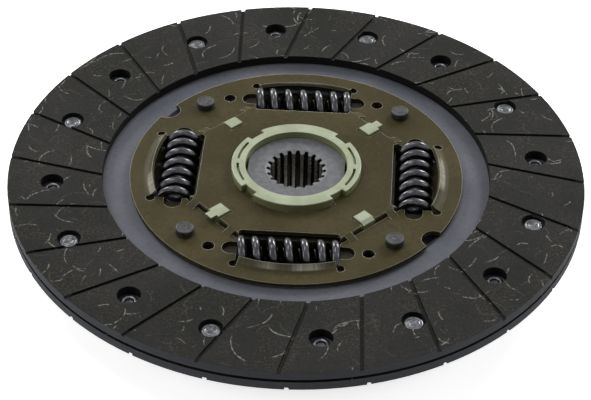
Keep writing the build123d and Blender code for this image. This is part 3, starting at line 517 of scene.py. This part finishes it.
def bush_material():
    """Glass-filled plastic, cream with a green cast, faintly mottled and a little translucent, with painted
    shade on its sides.
    """
    material, tree, shader, place = start_material("moulded_bush")
    base = clouds(tree, place, 7.0, BUSH_TOP, 0.3, 0.7)
    # painted shade on the sides, darker and yellower than the top
    side = less_than_one(tree, ramp(tree, facing_up(tree), 0.2, 0.8))
    base = mix(tree, times(tree, side, 0.75), base, BUSH_SIDE_SHADE)
    specks = ramp(tree, noise(tree, place, 0.9), 0.60, 0.72)
    base = mix(tree, times(tree, specks, 0.4), base, BUSH_SPECKS)
    tree.links.new(base, shader.inputs["Base Color"])
    shader.inputs["Subsurface Weight"].default_value = 0.12
    shader.inputs["Subsurface Radius"].default_value = (1.0, 0.9, 0.4)
    shader.inputs["Subsurface Scale"].default_value = 1.0 * MM
    fine = grain(tree, place, 0.4)
    tree.links.new(spread(tree, fine, 0.22, 0.40), shader.inputs["Roughness"])
    bump(tree, shader, fine, 0.02, 0.6, soft_edge(tree, 0.3))
    return material


def wire_material(name, tones, coat):
    """Oiled spring wire, its drawn surface softly bright and a little mottled."""
    material, tree, shader, place = start_material(name)
    base = clouds(tree, place, 2.0, tones, 0.35, 0.7, detail=4.0, roughness=0.6)
    tree.links.new(base, shader.inputs["Base Color"])
    shader.inputs["Metallic"].default_value = 1.0
    fine = grain(tree, place, 0.4)
    tree.links.new(spread(tree, fine, 0.24, 0.38), shader.inputs["Roughness"])
    shader.inputs["Coat Weight"].default_value = coat
    shader.inputs["Coat Roughness"].default_value = 0.14
    bump(tree, shader, fine, 0.02, 0.5)
    return material


def seen_directly(tree):
    """1 on the rays of the camera and on those that a glossy or a clear surface sends on."""
    path = tree.nodes.new("ShaderNodeLightPath").outputs
    sent_on = calc(tree, "MAXIMUM", path["Is Glossy Ray"], path["Is Transmission Ray"])
    return calc(tree, "MAXIMUM", path["Is Camera Ray"], sent_on)


def floor_material():
    """White table that keeps the shadows, with its glow faded out under the disc as painted shade, and is
    clear from below.
    """
    material = bpy.data.materials.new("white_table")
    material.use_nodes = True
    tree = material.node_tree
    tree.nodes.clear()
    grey = tone(FLOOR_ALBEDO, FLOOR_ALBEDO, FLOOR_ALBEDO)
    paint = add(tree, "ShaderNodeBsdfDiffuse", {}, {"Color": grey}).outputs[0]
    reach = axis_distance(tree, tree.nodes.new("ShaderNodeTexCoord").outputs["Object"])
    # the glow fades out under the disc: painted shade
    strength = spread(tree, ramp(tree, reach, FLOOR_GLOW_FROM, FLOOR_GLOW_TO), 0.0, FLOOR_CAMERA_GLOW)
    glow = add(tree, "ShaderNodeEmission", {}, {"Color": WHITE, "Strength": strength}).outputs[0]
    both = add(tree, "ShaderNodeAddShader", {}, {0: paint, 1: glow}).outputs[0]
    plain = add(tree, "ShaderNodeMixShader", {}, {0: seen_directly(tree), 1: paint, 2: both}).outputs[0]
    clear = tree.nodes.new("ShaderNodeBsdfTransparent").outputs[0]
    below = tree.nodes.new("ShaderNodeNewGeometry").outputs["Backfacing"]
    final = add(tree, "ShaderNodeMixShader", {}, {0: below, 1: plain, 2: clear}).outputs[0]
    add(tree, "ShaderNodeOutputMaterial", {}, {"Surface": final})
    return material


COVER_STEEL = {
    "tones": (tone(0.042, 0.034, 0.0105), tone(0.064, 0.052, 0.0205)),
    "spots": tone(0.125, 0.108, 0.062),
    "stains": tone(0.020, 0.016, 0.006),
    # the colour of the sheared edges: rubbed steel with a painted glint
    "edge_colour": tone(0.60, 0.58, 0.48),
    "edge_share": 0.85,
    "edge_width": 0.42,
    "roughness": 0.50,
    "specular": 0.10,
    "lips": True,
}
FLANGE_STEEL = {
    "tones": (tone(0.030, 0.026, 0.016), tone(0.045, 0.038, 0.024)),
    "spots": tone(0.06, 0.055, 0.04),
    "stains": tone(0.02, 0.017, 0.01),
    "edge_colour": tone(0.20, 0.19, 0.15),
    "edge_share": 0.5,
    "edge_width": 0.20,
    "roughness": 0.5,
    "specular": 0.20,
}
CUSHION_STEEL = {
    "tones": (tone(0.082, 0.087, 0.108), tone(0.122, 0.127, 0.150)),
    "spots": tone(0.18, 0.18, 0.20),
    "stains": tone(0.05, 0.052, 0.06),
    "edge_colour": tone(0.3, 0.3, 0.34),
    "edge_share": 0.3,
    "edge_width": 0.20,
    "roughness": 0.5,
    "specular": 0.25,
}
WASHER_STEEL = {
    "tones": (tone(0.14, 0.14, 0.14), tone(0.20, 0.20, 0.20)),
    "spots": tone(0.24, 0.23, 0.22),
    "stains": tone(0.08, 0.08, 0.08),
    "edge_colour": tone(0.5, 0.5, 0.5),
    "edge_share": 0.4,
    "edge_width": 0.15,
    "roughness": 0.38,
    "specular": 0.5,
    "metallic": 0.7,
}
STOP_PIN_STEEL = {
    "tones": (tone(0.020, 0.019, 0.020), tone(0.058, 0.056, 0.058)),
    "metallic": 0.3,
    "roughness": 0.45,
    "line_size": 0.35,
    "edge_share": 0.7,
}
HUB_STEEL = {
    "tones": (tone(0.095, 0.100, 0.106), tone(0.135, 0.140, 0.148)),
    "metallic": 0.2,
    "roughness": 0.5,
    "line_size": 0.5,
    "edge_share": 0.3,
    "bore": True,
}
RIVET_STEEL = {
    "tones": (tone(0.07, 0.074, 0.078), tone(0.15, 0.155, 0.165)),
    "metallic": 0.9,
    "roughness": 0.30,
    "line_size": 0.4,
    "edge_share": 0.5,
}
SPRING_TONES = (tone(0.022, 0.022, 0.025), tone(0.060, 0.060, 0.068))
# the inner coils' wire is painted near black, as painted shade inside the outer coils
INNER_SPRING_SHADE_TONES = (tone(0.006, 0.006, 0.006), tone(0.012, 0.012, 0.012))

MATERIALS = {
    "friction_facing": facing_material("friction_facing"),
    "cover_steel": sheet_steel_material("cover_steel", **COVER_STEEL),
    "flange_steel": sheet_steel_material("flange_steel", **FLANGE_STEEL),
    "cushion_steel": sheet_steel_material("cushion_steel", **CUSHION_STEEL),
    "stop_pin": machined_material("stop_pin", **STOP_PIN_STEEL),
    "hub_steel": machined_material("hub_steel", **HUB_STEEL),
    "rivet": machined_material("rivet", **RIVET_STEEL),
    "spring_steel": wire_material("spring_wire", SPRING_TONES, 0.5),
    "moulded_bush": bush_material(),
    "friction_ring": facing_material("friction_ring"),
    "washer_steel": sheet_steel_material("washer_steel", **WASHER_STEEL),
}
# the inner coils' wire, painted near black as shade
INNER_WIRE_SHADED = wire_material("inner_spring_wire_shaded", INNER_SPRING_SHADE_TONES, 0.0)
SLOT_OF = {entry["node"]: entry["material_slot"] for entry in frame["record"]["subparts"]}


def finish_cad_nodes():
    """Gives every CAD node the finish of its slot."""
    for node, piece in frame["nodes"].items():
        piece.data.materials.clear()
        piece.data.materials.append(MATERIALS[SLOT_OF[node]])


finish_cad_nodes()


# ---------------------------------------------------------------- help with the hand-made pieces

MERGE_DISTANCE = 0.002 * MM


def edit(piece):
    """Opens one piece for editing with nothing selected."""
    only(piece)
    bpy.ops.object.mode_set(mode="EDIT")
    bpy.ops.mesh.select_mode(type="VERT")
    bpy.ops.mesh.select_all(action="DESELECT")


def done():
    """Closes the piece that is open for editing."""
    bpy.ops.object.mode_set(mode="OBJECT")


def pick(piece, test):
    """Selects the vertices whose place passes a test, in edit mode."""
    bpy.ops.object.mode_set(mode="OBJECT")
    for vertex in piece.data.vertices:
        vertex.select = bool(test(vertex.co))
    bpy.ops.object.mode_set(mode="EDIT")


def tidy_mesh(piece, smooth_angle=40):
    """Merges doubles, turns the faces outwards and smooths all but the sharp edges."""
    edit(piece)
    bpy.ops.mesh.select_all(action="SELECT")
    bpy.ops.mesh.remove_doubles(threshold=MERGE_DISTANCE)
    bpy.ops.mesh.normals_make_consistent(inside=False)
    done()
    bpy.ops.object.shade_smooth_by_angle(angle=radians(smooth_angle))


def apply_place(piece):
    """Moves a piece's place, turn and size into its mesh."""
    only(piece)
    bpy.ops.object.transform_apply(location=True, rotation=True, scale=True)


def modifier(piece, kind, **settings):
    """Adds a modifier, sets it and applies it."""
    only(piece)
    made = piece.modifiers.new(kind.lower(), kind)
    for key, value in settings.items():
        setattr(made, key, value)
    bpy.ops.object.modifier_apply(modifier=made.name)


def copy_of(piece, name):
    """A copy of a piece with its own mesh."""
    made = piece.copy()
    made.data = piece.data.copy()
    made.name = made.data.name = name
    bpy.context.collection.objects.link(made)
    return made


def only_vertex(piece):
    """The place of a one-vertex mesh that is open for editing."""
    bpy.ops.object.mode_set(mode="OBJECT")
    place = piece.data.vertices[0].co.copy()
    bpy.ops.object.mode_set(mode="EDIT")
    return place


def turned_profile(name, outline, steps):
    """A piece turned on a lathe: an outline of (radius, height) in millimetres, swept round Z."""
    bpy.ops.mesh.primitive_plane_add(size=MM)
    piece = named(name)
    edit(piece)
    pick(piece, lambda place: place.x > 0 or place.y > 0)
    bpy.ops.mesh.delete(type="VERT")
    here = only_vertex(piece)
    bpy.ops.mesh.select_all(action="SELECT")
    start = Vector((outline[0][0] * MM, 0, outline[0][1] * MM))
    bpy.ops.transform.translate(value=start - here)
    for (radius, height), (next_radius, next_height) in zip(outline, outline[1:]):
        step = Vector((next_radius - radius, 0, next_height - height)) * MM
        bpy.ops.mesh.extrude_vertices_move(TRANSFORM_OT_translate={"value": step})
    bpy.ops.mesh.select_all(action="SELECT")
    bpy.ops.mesh.spin(steps=steps, angle=tau, center=(0, 0, 0), axis=(0, 0, 1))
    done()
    tidy_mesh(piece)
    return piece


def stand_for(piece, node, finish):
    """Gives a piece its finish, puts it on the disc and hides the node that it stands for."""
    piece.data.materials.append(finish)
    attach(piece, "disc")
    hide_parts(node)


# ---------------------------------------------------------------- damper springs

WIRE_SIDES = 20
STEPS_A_TURN = 40
TIP_TURN = 0.25                 # turns in each tip
END_TURN = 1.0                  # and in each end turn
TIP_RISE = 0.19                 # rise of a tip, in wires
END_RISE = 1.62                 # rise of an end turn, in wires
GROUND_SHARE = 0.25             # of the wire ground off each end
SEAM_DISTANCE = 0.01 * MM       # between the stretches of a coil that are merged
GRIND_TOLERANCE = 0.001 * MM    # how near the grinding plane a point counts as on it
COIL_SMOOTH_ANGLE = 35

# outer diameter, wire diameter and turns
DAMPER_COIL = (14.0, 3.2, 6.5)
INNER_COIL = (7.0, 1.5, 13.5)
# the inner springs, and how many quarter turns round the hub their windows lie
INNER_WINDOWS = [(1, 1), (2, 3)]


def coil_stretch(name, mean_radius, wire, stretch):
    """One stretch of wire round Z: its turns, its rise, and the height and turn at which it starts."""
    turns, rise, height, turned = stretch
    bpy.ops.mesh.primitive_circle_add(vertices=WIRE_SIDES, radius=wire / 2 * MM, rotation=(pi / 2, 0, 0),
                                      location=(mean_radius * MM, 0, 0))
    part = named(name)
    apply_place(part)
    steps = max(2, round(turns * STEPS_A_TURN))
    modifier(part, "SCREW", axis="Z", angle=turns * tau, screw_offset=rise * MM, steps=steps,
             render_steps=steps, iterations=1, use_merge_vertices=False)
    part.location.z = height * MM
    part.rotation_euler.z = turned * tau
    apply_place(part)
    return part


def close_and_grind(coil_piece, length):
    """Joins the stretches' seams, closes the wire's ends and grinds both ends of the coil flat."""
    edit(coil_piece)
    bpy.ops.mesh.select_all(action="SELECT")
    bpy.ops.mesh.remove_doubles(threshold=SEAM_DISTANCE)
    bpy.ops.mesh.select_all(action="DESELECT")
    bpy.ops.mesh.select_non_manifold()
    bpy.ops.mesh.edge_face_add()
    for side in (-1, 1):
        bpy.ops.mesh.select_all(action="SELECT")
        bpy.ops.mesh.bisect(plane_co=(0, 0, side * length / 2 * MM), plane_no=(0, 0, side), use_fill=True,
                            clear_outer=True, threshold=GRIND_TOLERANCE)
    done()
    tidy_mesh(coil_piece, COIL_SMOOTH_ANGLE)


def wound_coil(name, coil, length):
    """A compression coil on Z, wound in stretches of different pitch, with both ends ground flat."""
    outer, wire, turns = coil
    centre_span = length - wire + 2 * GROUND_SHARE * wire
    tip = (TIP_TURN, TIP_RISE * wire)
    end = (END_TURN, END_RISE * wire)
    active = (turns - 2 * (TIP_TURN + END_TURN), centre_span - 2 * (TIP_RISE + END_RISE) * wire)
    height, turned = -centre_span / 2, 0.0
    parts = []
    for number, (stretch_turns, rise) in enumerate([tip, end, active, end, tip]):
        stretch = (stretch_turns, rise, height, turned)
        parts.append(coil_stretch(f"{name}_stretch_{number}", (outer - wire) / 2, wire, stretch))
        height += rise
        turned += stretch_turns
    deselect()
    for part in parts:
        part.select_set(True)
    bpy.context.view_layer.objects.active = parts[0]
    bpy.ops.object.join()
    coil_piece = named(name)
    close_and_grind(coil_piece, length)
    return coil_piece


def lay_in_window(coil_piece, node, quarter, finish):
    """Lays a coil in its window, as its node lies."""
    low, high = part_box(node)
    middle = (Vector(low) + Vector(high)) / 2
    coil_piece.rotation_euler = (pi / 2, 0, 0)
    apply_place(coil_piece)
    coil_piece.rotation_euler = (0, 0, quarter * pi / 2)
    coil_piece.location = middle
    apply_place(coil_piece)
    stand_for(coil_piece, node, finish)
    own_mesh(coil_piece)


def make_springs():
    """The damper coils in their four windows, and the inner coils in two of them."""
    low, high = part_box("damper_spring_1")
    length = (high[1] - low[1]) / MM
    damper = wound_coil("damper_coil", DAMPER_COIL, length)
    for quarter in range(4):
        number = quarter + 1
        lay_in_window(copy_of(damper, f"damper_coil_{number}"), f"damper_spring_{number}", quarter,
                      MATERIALS["spring_steel"])
    bpy.data.objects.remove(damper)
    inner = wound_coil("inner_coil", INNER_COIL, length)
    for number, quarter in INNER_WINDOWS:
        lay_in_window(copy_of(inner, f"inner_coil_{number}"), f"inner_spring_{number}", quarter, INNER_WIRE_SHADED)
    bpy.data.objects.remove(inner)


make_springs()


# ---------------------------------------------------------------- rivets and stop pins

MIDDLE_PLANE = 22.0             # height of the disc's middle plane above the floor
RIVET_CIRCLE = 91.0             # radius of the rivets' circle
RIVET_STARTS = {"front_facing_rivets": 30.0, "rear_facing_rivets": 9.0}     # angle of the first of each
RIVET_COUNT = 8
RIVET_STEPS = 40                # sides that a turned rivet has
PIN_CIRCLE = 53.5               # radius of the pins' circle
PIN_START = 45.0                # angle of the first
PIN_COUNT = 4
PIN_STEPS = 56                  # sides that a turned pin has
OWN_TURNS = 5                   # each copy also turns about itself, so that no two look alike

# a tubular rivet: radius, and height above the top of its dished head, down to its shank
RIVET_HEAD = [
    (0, -0.50), (1.05, -0.52), (1.35, -0.42), (1.50, -0.16), (1.62, -0.03), (1.80, 0), (2.00, -0.03),
    (2.15, -0.13), (2.40, -0.15), (2.62, -0.07), (2.90, -0.03), (3.18, -0.10), (3.40, -0.27), (3.50, -0.48),
    (3.45, -0.70), (3.30, -0.80), (2.25, -0.80),
]
# the same above the bottom of its rolled tail, from its shank to the floor of its hollow
RIVET_TAIL = [
    (2.25, 1.10), (3.10, 1.10), (3.26, 0.95), (3.30, 0.70), (3.22, 0.40), (3.00, 0.15), (2.68, 0.02),
    (2.30, 0), (1.95, 0.06), (1.68, 0.22), (1.52, 0.50), (1.50, 1.05), (1.20, 1.10), (0, 1.10),
]

# a stop pin: its radii, and its heights above the middle plane
PIN_HEAD_RADIUS = 3.35
PIN_SHANK_RADIUS = 2.6
PIN_BODY_RADIUS = 4.5
PIN_HEAD_HEIGHT = 2.85
PIN_FACE = 2.65                 # the front cover's outer face
PIN_BODY_TOP = 1.05
PIN_BODY_BOTTOM = -2.5
PIN_REAR_FACE = -5.1            # the rear cover's outer face
# radius, and height above the top of the front head: its dimple, its flat and its rim
PIN_CROWN = [
    (0, -0.25), (0.25, -0.22), (0.62, -0.03), (0.85, 0), (1.55, -0.02), (1.75, -0.06), (2.45, -0.06),
    (2.65, -0.02), (2.95, 0), (3.10, -0.04), (3.24, -0.14), (3.32, -0.27), (PIN_HEAD_RADIUS, -0.45),
]
# the same above the bottom of the rear head, from its side to its dimple
PIN_BASE = [
    (PIN_HEAD_RADIUS, 0.45), (PIN_HEAD_RADIUS - 0.1, 0.18), (PIN_HEAD_RADIUS - 0.3, 0.03),
    (PIN_HEAD_RADIUS - 0.5, 0), (0.85, 0), (0.6, 0.04), (0, 0.25),
]


def raised(profile, height):
    """A profile lifted to a height."""
    return [(radius, height + rise) for radius, rise in profile]


def rivet_outline(head, tail):
    """Outline of a tubular rivet from its head's middle to its rolled tail's middle."""
    return raised(RIVET_HEAD, head) + raised(RIVET_TAIL, tail)


def pin_outline():
    """Outline of a stop pin from the middle of its front head to the middle of its rear head."""
    body = [
        (PIN_HEAD_RADIUS, PIN_FACE + 0.25), (PIN_HEAD_RADIUS - 0.08, PIN_FACE + 0.1),
        (PIN_HEAD_RADIUS - 0.1, PIN_FACE), (PIN_SHANK_RADIUS, PIN_FACE), (PIN_SHANK_RADIUS, PIN_BODY_TOP),
        (PIN_BODY_RADIUS, PIN_BODY_TOP), (PIN_BODY_RADIUS, PIN_BODY_BOTTOM),
        (PIN_SHANK_RADIUS, PIN_BODY_BOTTOM), (PIN_SHANK_RADIUS, PIN_REAR_FACE),
        (PIN_HEAD_RADIUS - 0.1, PIN_REAR_FACE), (PIN_HEAD_RADIUS, PIN_REAR_FACE - 0.15),
    ]
    crown = raised(PIN_CROWN, PIN_FACE + PIN_HEAD_HEIGHT)
    base = raised(PIN_BASE, PIN_REAR_FACE - PIN_HEAD_HEIGHT)
    return crown + body + base


def stand_round(pattern, name, count, circle, start, node_of):
    """Copies a turned piece to even places round the hub, and gives each its finish and its body."""
    for number in range(count):
        angle = radians(start + number * 360 / count)
        piece = copy_of(pattern, f"{name}_{number + 1}")
        piece.rotation_euler.z = angle * OWN_TURNS
        piece.location = (circle * MM * cos(angle), circle * MM * sin(angle), 0)
        apply_place(piece)
        node = node_of(number)
        stand_for(piece, node, MATERIALS[SLOT_OF[node]])
    bpy.data.objects.remove(pattern)


def make_rivets():
    """The rivets of both facings. Those of the rear facing have their heads at the rear."""
    for node, start in RIVET_STARTS.items():
        low, high = (corner[2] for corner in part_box(node))
        pattern = turned_profile(f"{node}_pattern", rivet_outline(high / MM, low / MM), RIVET_STEPS)
        if node.startswith("rear"):
            pattern.rotation_euler.x = pi
            pattern.location.z = high + low
            apply_place(pattern)
        stand_round(pattern, node.removesuffix("s"), RIVET_COUNT, RIVET_CIRCLE, start, lambda number: node)


def make_stop_pins():
    """The pins that join the covers and stop the hub's flange."""
    pattern = turned_profile("stop_pin_pattern", pin_outline(), PIN_STEPS)
    pattern.location.z = MIDDLE_PLANE * MM
    apply_place(pattern)
    stand_round(pattern, "turned_stop_pin", PIN_COUNT, PIN_CIRCLE, PIN_START,
                lambda number: f"stop_pin_{number + 1}")


make_rivets()
make_stop_pins()


# ---------------------------------------------------------------- floor, light and camera


def make_floor():
    """A round white table top, wide enough to fill every view."""
    bpy.ops.mesh.primitive_circle_add(vertices=FLOOR_SIDES, radius=FLOOR_RADIUS, fill_type="NGON")
    floor = named("table_top")
    floor.data.materials.append(floor_material())


def make_softboxes():
    """Large soft lamps that face the disc."""
    for name, (place, width, height, watts) in SOFTBOXES.items():
        bpy.ops.object.light_add(type="AREA", location=place)
        lamp = named(name)
        lamp.data.shape = "RECTANGLE"
        lamp.data.size = width
        lamp.data.size_y = height
        lamp.data.energy = watts
        lamp.rotation_euler = (-Vector(place)).to_track_quat("-Z", "Y").to_euler()


def make_room():
    """A grey room, dim in front of the disc, that looks white to the camera and in reflections."""
    world = bpy.data.worlds.new("room")
    bpy.context.scene.world = world
    world.use_nodes = True
    tree = world.node_tree
    tree.nodes.clear()
    toward = parts_of(tree, tree.nodes.new("ShaderNodeTexCoord").outputs["Generated"])
    back = calc(tree, "MULTIPLY_ADD", toward["Y"], ROOM_LEAN, toward["Z"])
    strength = spread(tree, ramp(tree, back, ROOM_DIM_BELOW, ROOM_BRIGHT_ABOVE), ROOM_DIM, ROOM_BRIGHT)
    light = add(tree, "ShaderNodeBackground", {}, {"Color": WHITE, "Strength": strength}).outputs[0]
    white = add(tree, "ShaderNodeBackground", {}, {"Color": WHITE, "Strength": 1.0}).outputs[0]
    both = add(tree, "ShaderNodeMixShader", {}, {0: seen_directly(tree), 1: light, 2: white}).outputs[0]
    add(tree, "ShaderNodeOutputWorld", {}, {"Surface": both})


def make_camera():
    """The camera looks down on the front of the disc, turned a little to the right."""
    azimuth, elevation, roll = radians(CAMERA_AZIMUTH), radians(CAMERA_ELEVATION), radians(CAMERA_ROLL)
    back = Vector((sin(azimuth) * cos(elevation), -cos(azimuth) * cos(elevation), sin(elevation)))
    level = Vector((cos(azimuth), sin(azimuth), 0))
    upright = back.cross(level)
    right = cos(roll) * level + sin(roll) * upright
    up = back.cross(right)
    bpy.ops.object.camera_add()
    camera = named("camera")
    camera.data.lens = CAMERA_LENS
    camera.data.sensor_width = CAMERA_SENSOR
    camera.data.clip_start = CAMERA_NEAREST
    camera.matrix_world = Matrix.Translation(CAMERA_PLACE) @ Matrix((right, up, back)).transposed().to_4x4()
    bpy.context.scene.camera = camera


make_floor()
make_softboxes()
make_room()
make_camera()
bpy.context.scene.view_settings.view_transform = "Standard"
